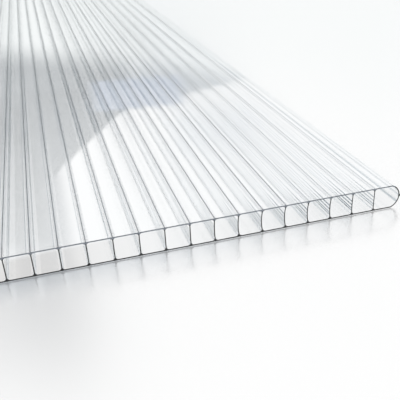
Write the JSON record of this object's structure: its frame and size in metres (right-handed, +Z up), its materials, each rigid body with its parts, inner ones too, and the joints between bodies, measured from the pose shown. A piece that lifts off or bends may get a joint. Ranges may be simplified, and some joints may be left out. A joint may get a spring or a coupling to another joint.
{
  "type": "multiwall polycarbonate sheet",
  "caption": "Flat clear hollow glazing sheet with ribs between thin skins, open flutes along its length, rounded closed long edges and square sawn ends.",
  "frame": {"origin": "middle of the lower skin's outer face, on which the sheet lies", "axes": "+X across the sheet, +Y along the flutes, +Z up through the thickness"},
  "size_m": [1.0512, 2, 0.01],
  "materials": {
    "clear_polycarbonate": "gloss"
  },
  "bodies": {
    "root": {"twin_wall_sheet": "clear_polycarbonate"}
  },
  "joints": []
}
